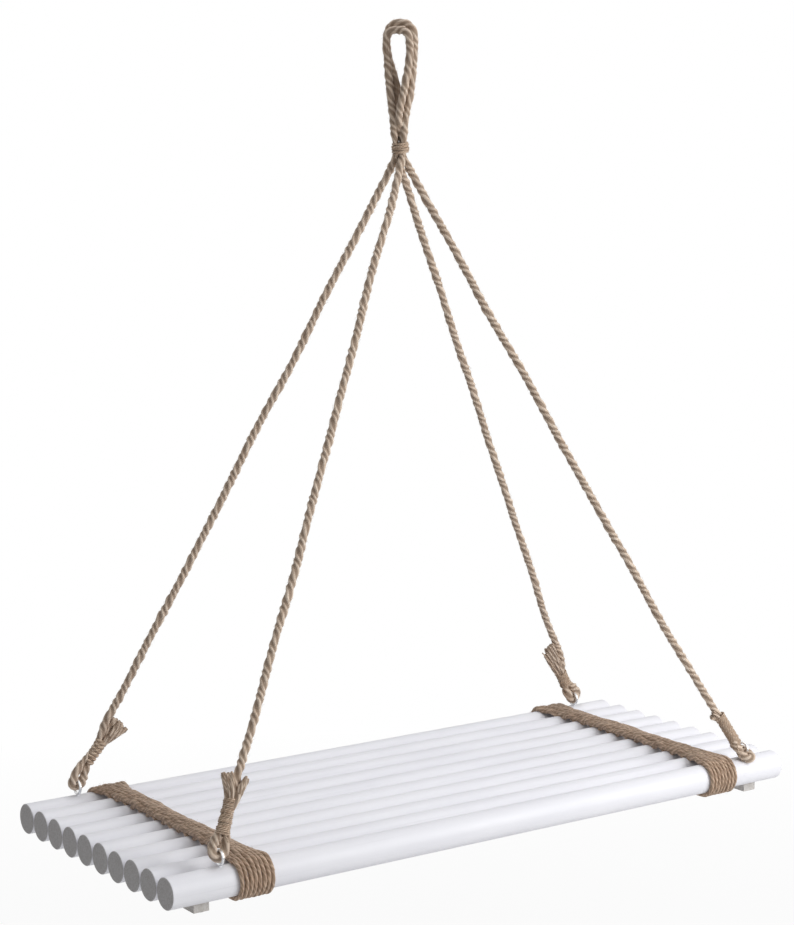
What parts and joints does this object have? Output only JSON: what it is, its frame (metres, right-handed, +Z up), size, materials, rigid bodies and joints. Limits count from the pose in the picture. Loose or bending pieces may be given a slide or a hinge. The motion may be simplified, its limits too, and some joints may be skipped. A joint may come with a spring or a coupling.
{
  "type": "porch swing seat",
  "caption": "Hanging seat of round white dowels laid side by side and lashed with jute cord, carried by ropes from screw eyes to a knot and a rope loop for a hook.",
  "frame": {"origin": "inside the crown of the hanging loop, where the hook carries it", "axes": "+X along the dowels, +Y to the back of the seat, +Z up"},
  "size_m": [0.75, 0.3178, 0.8095],
  "materials": {
    "white_paint": "satin paint",
    "batten_wood": "thin white wash",
    "jute_rope": "twisted jute",
    "jute_twine": "twisted jute",
    "jute_cord": "twisted jute",
    "zinc_steel": "bright zinc",
    "screw_steel": "zinc"
  },
  "bodies": {
    "hanging_loop": {"loop_rope_inner": "jute_rope", "loop_rope_outer": "jute_rope"},
    "neck": {"neck_rope_inner": "jute_rope", "neck_rope_outer": "jute_rope"},
    "knot": {"bound_ropes": "jute_rope", "top_seizing": "jute_twine"},
    "swing": {"dowel_01": "white_paint", "dowel_02": "white_paint", "dowel_03": "white_paint", "dowel_04": "white_paint", "dowel_05": "white_paint", "dowel_06": "white_paint", "dowel_07": "white_paint", "dowel_08": "white_paint", "dowel_09": "white_paint", "dowel_10": "white_paint", "batten_left": "batten_wood", "batten_right": "batten_wood", "batten_screws": "screw_steel", "screw_eye_front_left": "zinc_steel", "screw_eye_back_left": "zinc_steel", "screw_eye_back_right": "zinc_steel", "screw_eye_front_right": "zinc_steel", "lashing_left": "jute_cord", "lashing_right": "jute_cord", "rope_front_left": "jute_rope", "rope_back_left": "jute_rope", "rope_back_right": "jute_rope", "rope_front_right": "jute_rope", "whipping_front_left": "jute_twine", "whipping_back_left": "jute_twine", "whipping_back_right": "jute_twine", "whipping_front_right": "jute_twine"}
  },
  "joints": [
    {"name": "twist", "type": "hinge", "parent": "hanging_loop", "child": "neck", "pos_m": [0, 0, -0.08], "axis": [0, 0, 1], "range_deg": [-180, 180]},
    {"name": "fore_aft_swing", "type": "hinge", "parent": "neck", "child": "knot", "pos_m": [0, 0, -0.112], "axis": [1, 0, 0], "range_deg": [-35, 35]},
    {"name": "side_sway", "type": "hinge", "parent": "knot", "child": "swing", "pos_m": [0, 0, -0.112], "axis": [0, 1, 0], "range_deg": [-20, 20]}
  ]
}
